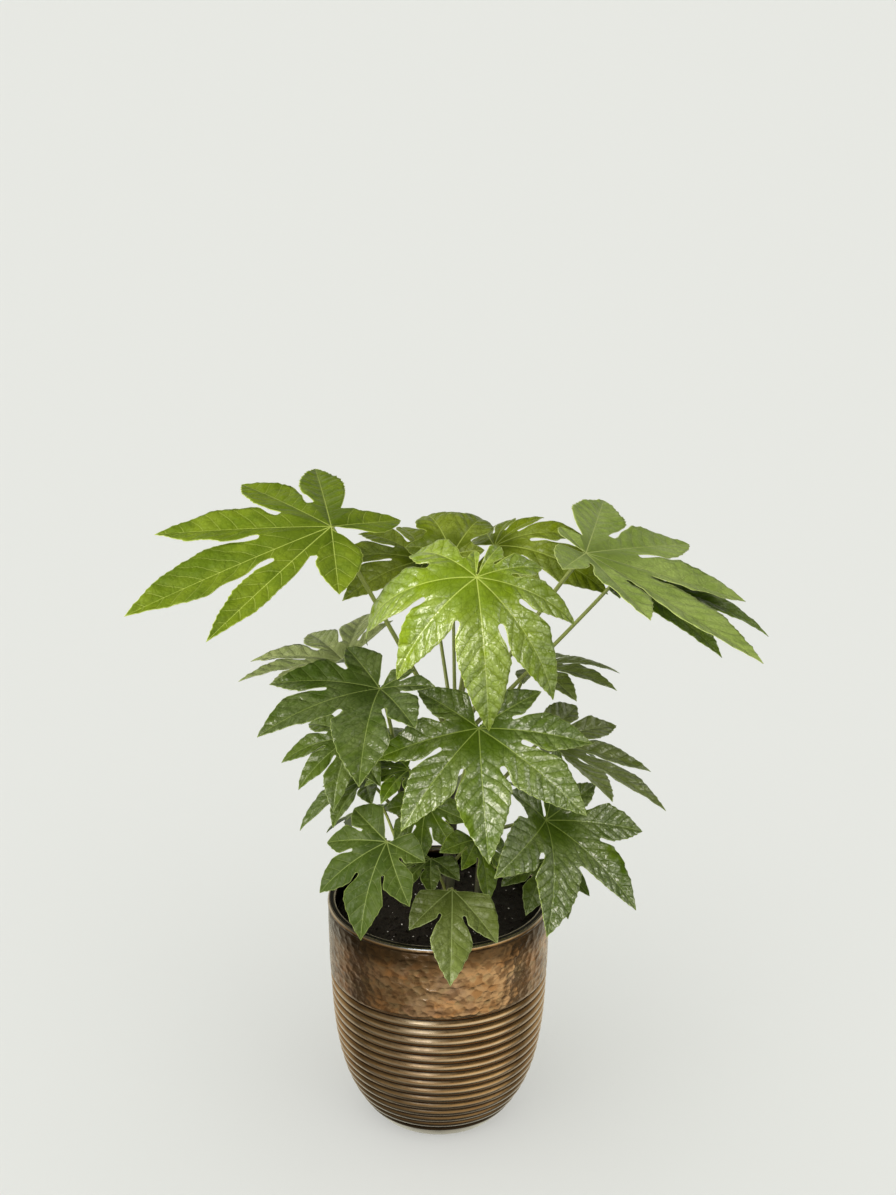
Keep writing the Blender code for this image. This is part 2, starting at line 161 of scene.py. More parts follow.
def hammered(radius, height, turn):
    """How far hand work leaves the wall from true: soft flats in the band, a slight waver in the ribs."""
    if radius < BODY_RADIUS - LIP_WIDTH or height < 2 * MM:
        return 0.0
    place = Vector((math.cos(turn) * radius, math.sin(turn) * radius, height))
    band = smooth(height, RIB_TOP + 2 * MM, RIB_TOP + 9 * MM)
    band *= 1 - smooth(height, POT_HEIGHT - 18 * MM, POT_HEIGHT - 9 * MM)
    flats = noise.noise(place * 120) * 0.35 * MM * float(band)
    return flats + noise.noise(place * 22) * 0.25 * MM


def show(name, mesh, *finishes):
    """A new piece in the scene with its finishes."""
    obj = bpy.data.objects.new(name, mesh)
    bpy.context.scene.collection.objects.link(obj)
    for surface in finishes:
        mesh.materials.append(surface)
    return obj


def finish(name, **sockets):
    """A new material: its node tree and its Principled shader, with plain values set."""
    material = bpy.data.materials.new(name)
    material.use_nodes = True
    tree = material.node_tree
    shader = tree.nodes["Principled BSDF"]
    fill(tree, shader, sockets)
    return material, tree, shader


def plug(tree, socket, value):
    """Gives one socket a plain value, or links another node's output to it."""
    if isinstance(value, bpy.types.NodeSocket):
        tree.links.new(value, socket)
    else:
        socket.default_value = value


def fill(tree, target, sockets):
    """Fills a node's sockets by name."""
    for name, value in sockets.items():
        plug(tree, target.inputs[name.replace("_", " ")], value)


def add(tree, kind, settings=None, **sockets):
    """A new node of a kind, returned as its outputs."""
    made = tree.nodes.new("ShaderNode" + kind)
    for name, value in (settings or {}).items():
        setattr(made, name, value)
    fill(tree, made, sockets)
    return made.outputs


def calc(tree, operation, *values, kind="Math"):
    """The result of a Math node, or of a node of a like kind."""
    made = tree.nodes.new("ShaderNode" + kind)
    made.operation = operation
    for socket, value in zip(made.inputs, values):
        plug(tree, socket, value)
    return made.outputs[0]


def times(tree, *values):
    """Several values multiplied together."""
    product = values[0]
    for value in values[1:]:
        product = calc(tree, "MULTIPLY", product, value)
    return product


def remap(tree, value, low, high, start=0.0, end=1.0):
    """The value between low and high brought smoothly to between start and end."""
    return add(
        tree, "MapRange", {"interpolation_type": "SMOOTHSTEP"},
        Value=value, From_Min=low, From_Max=high, To_Min=start, To_Max=end,
    )["Result"]


def blend(tree, share, first, second):
    """The first colour going to the second by a share."""
    made = tree.nodes.new("ShaderNodeMix")
    made.data_type = "RGBA"
    for socket, value in ((made.inputs[0], share), (made.inputs[6], first), (made.inputs[7], second)):
        plug(tree, socket, (*value, 1.0) if isinstance(value, tuple) else value)
    return made.outputs[2]


def clouds(tree, place, scale, detail, roughness=0.5, distortion=0.0):
    """A soft random value at each place, in clouds of a scale."""
    return add(
        tree, "TexNoise", Vector=place, Scale=scale, Detail=detail, Roughness=roughness,
        Distortion=distortion,
    )["Fac"]


def layer(tree, name):
    """The two values that a UV layer of the mesh holds."""
    return add(tree, "SeparateXYZ", Vector=add(tree, "UVMap", {"uv_map": name})["UV"])


def warped(tree, place, scale, reach):
    """The place pushed about by a noise, so that a regular pattern laid on it comes out uneven."""
    push = add(tree, "TexNoise", Vector=place, Scale=scale, Detail=2.0)["Color"]
    return calc(tree, "MULTIPLY_ADD", push, (reach, reach, reach), place, kind="VectorMath")


def bronze_finish():
    """Brown patinated bronze under wax: hammered and mottled above, and ribbed below, with dark grooves and
    rubbed ridges; painted shade darkens its left side and its inside, and adds to the patina towards its
    foot."""
    material, tree, shader = finish(
        "patinated_bronze", Metallic=1.0, IOR=1.5, Coat_Roughness=0.14, Coat_IOR=1.8
    )
    place = add(tree, "TexCoord")["Object"]
    worn = layer(tree, "worn")
    groove_and_shade = worn["X"]
    height = calc(tree, "DIVIDE", worn["Y"], UV_PER_METRE)
    band = times(
        tree,
        remap(tree, height, RIB_TOP + 1 * MM, RIB_TOP + 6 * MM),
        remap(tree, height, POT_HEIGHT - 4.5 * MM, POT_HEIGHT - 2.5 * MM, 1.0, 0.0),
    )
    blow_at = add(tree, "Mapping", Vector=place, Scale=(1.0, 1.0, 1.35))["Vector"]
    struck_at = warped(tree, blow_at, 110.0, 5 * MM)
    blows = add(
        tree, "TexVoronoi", {"feature": "SMOOTH_F1"},
        Vector=struck_at, Scale=125.0, Smoothness=0.5, Randomness=0.9,
    )
    tone = add(tree, "SeparateColor", Color=blows["Color"])
    cloud = add(tree, "TexNoise", Vector=place, Scale=24.0, Detail=4.0)["Color"]
    patches = add(tree, "SeparateColor", Color=cloud)
    blotch = clouds(tree, blow_at, 85.0, 3.0, 0.55)
    grain = clouds(tree, place, 230.0, 5.0, 0.68)
    brown = blend(tree, remap(tree, patches["Red"], 0.40, 0.60), (0.29, 0.145, 0.060), (0.42, 0.245, 0.125))
    warm = blend(tree, remap(tree, patches["Green"], 0.46, 0.60, 0.0, 0.75), brown, (0.52, 0.235, 0.085))
    grey = blend(tree, remap(tree, patches["Blue"], 0.50, 0.64, 0.0, 0.45), warm, (0.34, 0.235, 0.175))
    struck = blend(tree, remap(tree, tone["Red"], 0.30, 0.70, 0.0, 0.5), grey, (0.44, 0.275, 0.150))
    olive = blend(tree, remap(tree, tone["Green"], 0.62, 0.85, 0.0, 0.35), struck, (0.27, 0.200, 0.100))
    darker = blend(tree, remap(tree, blotch, 0.48, 0.60, 0.0, 0.6), olive, (0.14, 0.066, 0.028))
    # Painted shade: the pot's left side is darkened, as if turned away from the light.
    across = add(tree, "SeparateXYZ", Vector=place)["X"]
    left_painted_shade = remap(tree, across, -105 * MM, -35 * MM, 0.55, 0.0)
    shaded = blend(tree, left_painted_shade, darker, (0.075, 0.036, 0.016))
    near_lip = remap(tree, height, POT_HEIGHT - 37 * MM, POT_HEIGHT - 14 * MM, 0.0, 0.88)
    under_lip = blend(tree, near_lip, shaded, (0.050, 0.027, 0.010))
    flank = blend(tree, remap(tree, patches["Red"], 0.36, 0.62), (0.36, 0.190, 0.072), (0.46, 0.265, 0.112))
    ridge = blend(tree, remap(tree, groove_and_shade, 0.0, 0.14, 0.55, 0.0), flank, (0.47, 0.38, 0.28))
    # Darker towards the foot: patina, with painted shade added where the body narrows away from the light.
    foot_patina_and_shade = blend(tree, remap(tree, height, 10 * MM, 120 * MM, 0.9, 0.0), ridge, (0.105, 0.060, 0.028))
    patina = blend(tree, band, foot_patina_and_shade, under_lip)
    on_lip = remap(tree, height, POT_HEIGHT - 3.2 * MM, POT_HEIGHT - 1.4 * MM, 0.0, 0.9)
    lip = blend(tree, on_lip, patina, (0.42, 0.34, 0.25))
    specked = blend(tree, remap(tree, grain, 0.56, 0.74, 0.0, 0.25), lip, (0.11, 0.064, 0.034))
    # Near black where the depth mark is high: deep in the grooves as patina, on the flat top of the lip, and
    # inside the pot as painted shade.
    colour = blend(tree, remap(tree, groove_and_shade, 0.45, 0.95), specked, (0.010, 0.006, 0.004))
    worn_smooth = remap(tree, blotch, 0.35, 0.65, 0.19, 0.30)
    rough = calc(tree, "ADD", worn_smooth, times(tree, groove_and_shade, 0.25))
    polish = times(tree, remap(tree, groove_and_shade, 0.02, 0.25, 0.6, 0.0), calc(tree, "SUBTRACT", 1.0, band))
    dents = times(tree, blows["Distance"], blows["Distance"], band)
    raised = calc(tree, "ADD", dents, times(tree, grain, 0.03))
    raised = calc(tree, "ADD", raised, times(tree, blotch, 0.10))
    bump = add(tree, "Bump", Strength=1.0, Distance=1.0 * MM, Height=raised)["Normal"]
    fill(tree, shader, {
        "Base Color": colour, "Roughness": rough, "Coat Weight": calc(tree, "ADD", polish, 0.05),
        "Normal": bump, "Coat Normal": bump,
    })
    return material


pot = show("bronze_pot", turned("bronze_pot", pot_profile(), POT_STEPS, hammered), bronze_finish())
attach(pot, "root")
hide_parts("pot")


# The compost is peat and bark, nearly black where it is moist. It is filled to just under the lip
# and firmed by hand, so its top is crumbly and a little humped, with white grains of perlite.
SOIL_TOP = 243 * MM
SOIL_MOUND = 5 * MM
SOIL_SPARE = 0.5 * MM
SOIL_RADIUS = BODY_RADIUS - LIP_WIDTH - 0.6 * MM


def soil_height(x, y):
    """Height of the compost's top at a place."""
    away = min(1, math.hypot(x, y) / SOIL_RADIUS)
    place = Vector((x, y, 0))
    lumps = noise.fractal(place * 45, 0.8, 2.1, 4) * 2.2 * MM
    crumbs = abs(noise.noise(place * 260)) * 1.6 * MM
    return SOIL_TOP + SOIL_MOUND * (1 - away**2) + lumps * (1 - 0.5 * away) + crumbs - 1.5 * MM * away**6


def compost_mesh():
    """The heap: a crumbly top, and plain sides and underside where the pot hides them."""
    rings, steps = 64, 170
    rims = [(SOIL_RADIUS * ring / rings, None, 0.5 * (ring % 2)) for ring in range(1, rings + 1)]
    for height in (*INSIDE_HEIGHTS, POT_FLOOR + SOIL_SPARE):
        rims.append((min(SOIL_RADIUS, side_radius(height) - POT_WALL - SOIL_SPARE), height, 0))
    bm = bmesh.new()
    before = [bm.verts.new((0, 0, soil_height(0, 0)))] * steps
    for radius, height, shift in rims:
        points = []
        for step in range(steps):
            turn = math.tau * (step + shift) / steps
            x, y = radius * math.cos(turn), radius * math.sin(turn)
            points.append(bm.verts.new((x, y, height or soil_height(x, y))))
        for step in range(steps):
            follow = (step + 1) % steps
            corners = dict.fromkeys((before[step], points[step], points[follow], before[follow]))
            bm.faces.new(list(corners))
        before = points
    bm.faces.new(before[::-1])
    return built("compost_heap", bm)


def grains(name, count, smallest, largest, seed):
    """Loose lumps strewn over the compost, each half sunk in it."""
    chance = np.random.default_rng(seed)
    bm = bmesh.new()
    for _ in range(count):
        away = (SOIL_RADIUS - 4 * MM) * math.sqrt(chance.random())
        turn = math.tau * chance.random()
        size = smallest + (largest - smallest) * chance.random() ** 2
        x, y = away * math.cos(turn), away * math.sin(turn)
        lump = bmesh.ops.create_icosphere(bm, subdivisions=1, radius=size)["verts"]
        stretch = Vector(chance.uniform(0.6, 1.25, 3))
        for point in lump:
            point.co = point.co * stretch * (1 + 0.25 * chance.standard_normal())
        spin = Euler(chance.uniform(0, math.tau, 3)).to_matrix()
        bmesh.ops.rotate(bm, verts=lump, cent=(0, 0, 0), matrix=spin)
        bmesh.ops.translate(bm, verts=lump, vec=(x, y, soil_height(x, y) + size * 0.25))
    return built(name, bm, rounded=False)


def compost_finish():
    """Moist peat: almost black, with browner fibres and a faint damp gleam."""
    material, tree, shader = finish("moist_compost", Specular_IOR_Level=0.2)
    place = add(tree, "TexCoord")["Object"]
    fine = clouds(tree, place, 420.0, 6.0, 0.7)
    patch = clouds(tree, place, 60.0, 3.0)
    peat = blend(tree, remap(tree, fine, 0.4, 0.75), (0.0045, 0.0035, 0.0025), (0.017, 0.012, 0.007))
    colour = blend(tree, remap(tree, patch, 0.5, 0.8, 0.0, 0.5), peat, (0.012, 0.010, 0.005))
    rough = remap(tree, patch, 0.3, 0.7, 0.55, 0.95)
    bump = add(tree, "Bump", Strength=0.9, Distance=1.5 * MM, Height=fine)["Normal"]
    fill(tree, shader, {"Base Color": colour, "Roughness": rough, "Normal": bump})
    return material


def perlite_finish():
    """Perlite: white expanded rock, stained grey by the compost."""
    material, tree, shader = finish("perlite", Roughness=0.8)
    place = add(tree, "TexCoord")["Object"]
    stain = clouds(tree, place, 300.0, 4.0)
    colour = blend(tree, remap(tree, stain, 0.35, 0.6), (0.12, 0.11, 0.10), (0.62, 0.61, 0.58))
    fill(tree, shader, {"Base Color": colour})
    return material


peat = compost_finish()
heap = show("compost_heap", compost_mesh(), peat)
crumbs = show("compost_crumbs", grains("compost_crumbs", 520, 0.8 * MM, 2.6 * MM, 4), peat)
perlite = show("perlite_grains", grains("perlite_grains", 90, 0.5 * MM, 1.3 * MM, 9), perlite_finish())
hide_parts("compost")
for piece in (heap, crumbs, perlite):
    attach(piece, "root")


# Four soft-wooded stems rise from the compost. They are green-brown, ringed by the scars of shed
# leaves, and as thick as a pencil or a little more.
STEM_RADIUS = 5.5 * MM
STEM_DEPTH = 60 * MM
STEM_SIDES = 20
LEAF_SCARS = 15


def bezier(start, leave, arrive, end, count):
    """Points along one Bezier curve."""
    share = np.linspace(0, 1, count)[:, None]
    rest = 1 - share
    return rest**3 * start + 3 * rest**2 * share * leave + 3 * rest * share**2 * arrive + share**3 * end


def tube(name, path, radii, sides):
    """A closed round tube along a path, with UV values of its length and its turn."""
    path = np.asarray(path)
    ahead = np.gradient(path, axis=0)
    ahead /= np.linalg.norm(ahead, axis=1)[:, None]
    across = np.cross(ahead[0], (0.31, 0.95, 0.05))
    bm = bmesh.new()
    layer = bm.loops.layers.uv.new("length")
    run = np.concatenate(([0], np.cumsum(np.linalg.norm(np.diff(path, axis=0), axis=1))))
    rings = []
    for point, direction, radius in zip(path, ahead, radii):
        across = across - direction * across.dot(direction)
        across /= np.linalg.norm(across)
        beside = np.cross(direction, across)
        turns = [math.tau * side / sides for side in range(sides)]
        ring = [point + (across * math.cos(turn) + beside * math.sin(turn)) * radius for turn in turns]
        rings.append([bm.verts.new(place) for place in ring])
    for index, (low, high) in enumerate(zip(rings, rings[1:])):
        for side in range(sides):
            follow = (side + 1) % sides
            face = bm.faces.new((low[side], low[follow], high[follow], high[side]))
            marks = ((index, side), (index, side + 1), (index + 1, side + 1), (index + 1, side))
            for loop, (ring, turn) in zip(face.loops, marks):
                loop[layer].uv = (run[ring] * UV_PER_METRE, turn / sides)
    bm.faces.new(rings[0][::-1])
    bm.faces.new(rings[-1])
    return built(name, bm)


def bark_finish():
    """Young bark: green-brown, with pale corky flecks and paler rings where leaves have dropped."""
    material, tree, shader = finish("young_bark", Specular_IOR_Level=0.4)
    place = add(tree, "TexCoord")["Object"]
    length = layer(tree, "length")["X"]
    flecks = clouds(tree, place, 380.0, 4.0, 0.6)
    cloud = clouds(tree, place, 40.0, 3.0)
    green = blend(tree, remap(tree, cloud, 0.35, 0.65), (0.026, 0.032, 0.010), (0.044, 0.038, 0.016))
    corky = blend(tree, remap(tree, flecks, 0.6, 0.72, 0.0, 0.4), green, (0.11, 0.09, 0.05))
    ring = calc(tree, "PINGPONG", times(tree, length, 5.5), 0.5)
    colour = blend(tree, remap(tree, ring, 0.0, 0.05, 0.5, 0.0), corky, (0.13, 0.11, 0.06))
    rough = remap(tree, cloud, 0.3, 0.7, 0.5, 0.7)
    raised = calc(tree, "ADD", flecks, remap(tree, ring, 0.0, 0.07, 0.8, 0.0))
    bump = add(tree, "Bump", Strength=0.6, Distance=0.6 * MM, Height=raised)["Normal"]
    fill(tree, shader, {"Base Color": colour, "Roughness": rough, "Normal": bump})
    return material


bark = bark_finish()
stems = {}


def stem(name, foot, top):
    """A stem from its hole in the compost to its top, remembered for the stalks that grow from it."""
    foot_end = np.array((*foot, (SOIL_TOP - STEM_DEPTH) / MM)) * MM
    collar = np.array((*foot, (SOIL_TOP + SOIL_MOUND) / MM + 5)) * MM
    tip = np.array(top) * MM
    lean = (tip - collar) * 0.2
    up = np.array((0, 0, 20 * MM))
    path = np.concatenate([
        bezier(foot_end, foot_end + up, collar - up, collar, 14)[:-1],
        bezier(collar, collar + lean, tip - lean, tip, 60),
        [tip + lean / np.linalg.norm(lean) * 1.5 * MM],
    ])
    share = np.linspace(0, 1, len(path))
    scars = np.maximum(0, np.cos(share * math.tau * LEAF_SCARS)) ** 6
    radii = STEM_RADIUS * (1.0 - 0.22 * share) * (1 + 0.07 * scars)
    radii[-1] *= 0.55
    piece = show(name + "_bark", tube(name + "_bark", path, radii, STEM_SIDES), bark)
    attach(piece, "root")
    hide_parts(name)
    stems[name] = (collar, tip)


stem("stem_tall", foot=(8, 8), top=(18, 6, 465))
stem("stem_left", foot=(-34, 2), top=(-40, -6, 425))
stem("stem_right", foot=(44, 12), top=(52, 12, 415))
stem("stem_front", foot=(10, -40), top=(16, -52, 400))


# Each leaf is a leathery blade cut into lobes, like a hand, on a long smooth stalk. The veins of
# the lobes spread from the stalk's end; side veins arch forward from them and quilt the blade.
# The youngest leaves, at the top, are a bright yellow-green, and the oldest a deep dull green.
BLADE_THICKNESS = 0.5 * MM
BAY_OPENING = 0.02
VEIN_FOLD = 0.2
SKIRT = 1.3
STALK_NOTCH = 4 * MM
STALK_STEPS = 46
STALK_SIDES = 12
TOOTH_GAP = 8.2 * MM
COLUMNS = 7
ROW_STEP = 2.4 * MM
ROW_UNIT = 0.05 * MM
CLEAR_OF_BAY = 14
END_GAP = 1.2 * MM


def lobe_shape(share, belly):
    """Half-width of a lobe at a share of its length, against its widest, which is at the belly."""
    if share < belly:
        return math.sin(math.pi / 2 * (share / belly)) ** 1.15
    fall = (share - belly) / (1 - belly)
    return (1 - fall) ** 1.1 * (1 + 1.05 * fall)


def margin_angle(radius, reach, half_gap, length, width, belly):
    """Angle between a lobe's vein and its toothed edge, past the rounded end of the bay beside it."""
    share = radius / length
    past = (radius - reach) / (BAY_OPENING * length)
    opening = BAY_OPENING * (1 - 0.6 * float(smooth(past, 2.5, 7)))
    if past < 1:
        opening *= math.sqrt(max(0.0, 1 - (1 - past) ** 2))
    room = share * math.sin(half_gap) - opening
    spread = width * lobe_shape(share, belly)
    saw = (radius / TOOTH_GAP) % 1
    toothed = float(smooth(share, 0.42, 0.6) * (1 - smooth(share, 0.93, 1.0)))
    spread += (saw**1.6 - 0.35) * toothed * min(1.7 * MM / length, 0.016)
    return math.asin(min(max(spread, 0.001), room) / share)


def lay_out(angles, lengths, widths, bays, belly):
    """The flat blade, in rows across its lobes: points as (radius, angle, angle off the vein, distance
    from the edge), and faces. A face is the points at its corners, each with its place along and across
    the lobe's vein, its distance from the edge and the lobe's length."""
    past_bay = (0, 0.4 * MM, 1.3 * MM, 2.8 * MM)
    near_bays = {round((reach + step) / ROW_UNIT) for reach, _, _ in bays for step in past_bay}
    even = np.arange(END_GAP, max(lengths), ROW_STEP) / ROW_UNIT
    clear = [row for row in even if min(abs(row - near) for near in near_bays) > CLEAR_OF_BAY]
    rows = near_bays.union(round(row) for row in clear)
    points, faces, shared = [(0.0, 0.0, 0.0, 0.01)], [], {}
    for lobe, (angle, length) in enumerate(zip(angles, lengths)):
        before = [(0, (0, 0, 0.01, length))] * (2 * COLUMNS + 1)
        for row in sorted(rows):
            radius = row * ROW_UNIT
            if radius > length - END_GAP:
                break
            line = []
            for column in range(-COLUMNS, COLUMNS + 1):
                bay = lobe + (column > 0)
                reach, _, half_gap = bays[bay]
                joined = radius <= reach + ROW_UNIT / 2
                width = widths[lobe] * (SKIRT if bay in (0, len(lengths)) else 1)
                span = half_gap
                if not joined:
                    span = margin_angle(radius, reach, half_gap, length, width, belly)
                off = span * column / COLUMNS
                edge = radius * (span - abs(off))
                if joined:
                    edge = math.hypot(edge, reach - radius)
                index = len(points)
                if joined and abs(column) == COLUMNS:
                    index = shared.setdefault((bay, row), index)
                if index == len(points):
                    points.append((radius, angle + off, abs(off), edge))
                line.append((index, (radius * math.cos(off), radius * math.sin(off), edge, length)))
            for step in range(2 * COLUMNS):
                faces.append(dict((before[step], line[step], line[step + 1], before[step + 1])))
            before = line
        tip = (len(points), (length, 0, 0, length))
        points.append((length, angle, 0.0, 0.0))
        faces += [dict((before[step], tip, before[step + 1])) for step in range(2 * COLUMNS)]
    return np.array(points), faces


def side_vein(along, across, waver, gap):
    """Counts the side veins: whole numbers lie on one, as they leave the main vein and arch forward."""
    return (along + waver - 0.8 * np.abs(across) - 10 * across**2) / gap


def field(flat, size):
    """A smooth random value at each place of the flat blade, with lumps of a size."""
    return np.array([noise.noise(Vector(place / size)) for place in flat])


def bent(points, flat, waver, longest, cone, droop, gap):
    """The flat blade bent down along its veins, folded up between them, puffed between the side
    veins, and crumpled and waved towards its edge."""
    radius, angle, off, edge = points.T
    slope = cone + droop * radius / longest
    out = longest / droop * (np.sin(slope) - math.sin(cone))
    height = longest / droop * (np.cos(slope) - math.cos(cone))
    height = height + VEIN_FOLD * radius * np.sin(off) * np.minimum(1, radius / (20 * MM))
    along, across = radius * np.cos(off), radius * np.sin(off)
    outer = 0.15 + 0.85 * smooth(radius, 0.2 * longest, 0.5 * longest)
    puff = np.abs(np.sin(math.pi * side_vein(along, across, waver, gap))) ** 0.8 - 0.55
    relief = 1.25 * MM * puff * outer * smooth(across, 1 * MM, 8 * MM) * smooth(edge, -3 * MM, 6 * MM)
    relief -= 0.5 * MM * np.exp(-((across / (1.5 * MM)) ** 2))
    relief += 1.7 * MM * field(flat, 14 * MM) * outer * smooth(across, 1 * MM, 10 * MM)
    relief += 3.2 * MM * field(flat, 34 * MM) * smooth(across, 4 * MM, 26 * MM)
    places = np.stack([out * np.cos(angle), out * np.sin(angle), height], axis=1)
    outward = np.stack([np.sin(slope) * np.cos(angle), np.sin(slope) * np.sin(angle), np.cos(slope)], axis=1)
    return places + outward * relief[:, None]


def blade_nodes(tree):
    """What both faces of a blade share: the lines of its veins, the swell of the blade between them,
    a fine net, and its rim."""
    vein = layer(tree, "vein")
    rim = layer(tree, "rim")
    place = add(tree, "TexCoord")["Object"]
    half = calc(tree, "MULTIPLY_ADD", rim["Y"], -0.0075, 0.0105)
    main = remap(tree, vein["Y"], 0.0, half, 1.0, 0.0)
    phase = calc(tree, "PINGPONG", vein["X"], 0.5)
    inward = remap(tree, rim["X"], 0.0, 0.06)
    begun = times(tree, inward, remap(tree, rim["Y"], 0.14, 0.28))
    side = times(tree, remap(tree, phase, 0.0, 0.04, 1.0, 0.0), begun)
    net = add(
        tree, "TexVoronoi", {"feature": "DISTANCE_TO_EDGE"},
        Vector=warped(tree, place, 140.0, 4 * MM), Scale=165.0,
    )["Distance"]
    fine = remap(tree, net, 0.0, 0.11, 1.0, 0.0)
    pillow = remap(tree, net, 0.0, 0.38)
    swell = calc(tree, "POWER", times(tree, phase, 2.0), 0.6)
    swell = times(tree, swell, remap(tree, vein["Y"], 0.0, 0.05))
    edge = remap(tree, rim["X"], 0.003, 0.010, 1.0, 0.0)
    outer = remap(tree, rim["Y"], 0.12, 0.42)
    return {
        "place": place, "main": main, "side": side, "fine": fine, "pillow": pillow, "edge": edge,
        "phase": phase, "outer": outer, "swell": times(tree, swell, outer),
    }


def upper_finish(name, green, light, vein, wax_and_sheen, gloss):
    """The upper face of a blade: two greens in clouds, pale veins, and patches of wax that gleam on the
    crinkled skin, with a silver sheen painted onto them and painted shade in the vein valleys and the fine
    net. The wax's strength also sets how strong that painted sheen is, and gloss is how rough the wax is."""
    material, tree, shader = finish(
        name + "_upper", Roughness=0.5, IOR=1.45, Specular_IOR_Level=0.12,
        Coat_Roughness=gloss, Coat_IOR=1.5 + 0.7 * wax_and_sheen,
    )
    marks = blade_nodes(tree)
    place = marks["place"]
    cloud = clouds(tree, place, 19.0, 4.0, 0.6)
    crinkle = clouds(tree, place, 78.0, 2.0, 0.45, 1.0)
    patch = clouds(tree, place, 21.0, 3.0, 0.6)
    blade = blend(tree, remap(tree, cloud, 0.36, 0.64), green, light)
    heart = tuple(0.72 * part for part in green)
    blade = blend(tree, remap(tree, marks["outer"], 0.0, 1.0, 0.7, 0.0), blade, heart)
    # Painted shade: the green darkened in the valleys along the side veins, and in the lines of the fine net
    # below.
    crease_shade = tuple(0.5 * part for part in green)
    valley_shade = blend(tree, remap(tree, marks["phase"], 0.02, 0.20, 0.22, 0.0), blade, crease_shade)
    wax_and_sheen_mask = times(
        tree,
        remap(tree, patch, 0.45 - 0.13 * wax_and_sheen, 0.53 - 0.13 * wax_and_sheen),
        remap(tree, crinkle, 0.34, 0.46, 0.45, 1.0),
        remap(tree, marks["phase"], 0.01, 0.07, 0.1, 1.0),
        calc(tree, "MULTIPLY_ADD", marks["fine"], -0.6, 1.0),
        remap(tree, marks["outer"], 0.0, 1.0, 0.06, 1.0),
    )
    # A painted sheen: a pale silver mixed into the green where the wax lies.
    pale = tuple(0.5 * part + 0.5 * white for part, white in zip(light, (0.56, 0.62, 0.34)))
    with_painted_sheen = blend(tree, times(tree, wax_and_sheen_mask, 0.2 * wax_and_sheen), valley_shade, pale)
    # Painted shade in the lines of the fine net.
    netted = blend(tree, times(tree, marks["fine"], 0.15 + 0.3 * wax_and_sheen), with_painted_sheen, crease_shade)
    sided = blend(tree, times(tree, marks["side"], 0.4 - 0.3 * wax_and_sheen), netted, vein)
    # A pale line painted along the edge, for light showing through the thin margin.
    rimmed = blend(tree, times(tree, marks["edge"], 0.75), sided, vein)
    colour = blend(tree, times(tree, marks["main"], 0.75), rimmed, vein)
    swell = times(tree, marks["swell"], 0.3 + 0.65 * wax_and_sheen)
    raised = calc(tree, "MULTIPLY_ADD", crinkle, 0.95, swell)
    raised = calc(tree, "ADD", raised, times(tree, marks["pillow"], marks["outer"], 0.12))
    bump = add(tree, "Bump", Strength=0.9, Distance=2.2 * MM, Height=raised)["Normal"]
    fill(tree, shader, {
        "Base Color": colour, "Coat Weight": times(tree, wax_and_sheen_mask, 0.06 + 0.94 * wax_and_sheen),
        "Normal": bump, "Coat Normal": bump,
    })
    return material


def under_finish(name, green, vein):
    """The lower face of a blade: paler, greyer and duller, with the veins standing out of it."""
    dull = tuple(0.62 * part + 0.38 * grey for part, grey in zip(green, (0.40, 0.46, 0.30)))
    material, tree, shader = finish(name + "_under", Roughness=0.6, Specular_IOR_Level=0.35)
    marks = blade_nodes(tree)
    netted = blend(tree, times(tree, marks["fine"], 0.35), dull, vein)
    sided = blend(tree, times(tree, marks["side"], 0.55), netted, vein)
    colour = blend(tree, marks["main"], sided, vein)
    raised = times(tree, marks["side"], 0.9)
    raised = calc(tree, "ADD", raised, times(tree, marks["fine"], 0.4))
    raised = calc(tree, "ADD", raised, times(tree, marks["main"], 1.6))
    bump = add(tree, "Bump", Strength=0.7, Distance=0.8 * MM, Height=raised)["Normal"]
    fill(tree, shader, {"Base Color": colour, "Normal": bump})
    return material


def stalk_finish():
    """Leaf stalks: smooth, olive green, finely streaked along, and browner towards the stem."""
    material, tree, shader = finish("leaf_stalk", Roughness=0.42, Specular_IOR_Level=0.5)
    length = layer(tree, "length")
    along, round_it = times(tree, length["X"], 2.0), times(tree, length["Y"], 9.0)
    stretched = add(tree, "CombineXYZ", X=along, Y=round_it)
    streak = clouds(tree, stretched["Vector"], 3.0, 4.0)
    olive = blend(tree, remap(tree, streak, 0.35, 0.65), (0.120, 0.150, 0.024), (0.205, 0.245, 0.050))
    colour = blend(tree, remap(tree, length["X"], 0.05, 0.6, 0.5, 0.0), olive, (0.13, 0.115, 0.04))
    bump = add(tree, "Bump", Strength=0.35, Distance=0.3 * MM, Height=streak)["Normal"]
    fill(tree, shader, {"Base Color": colour, "Normal": bump})
    return material


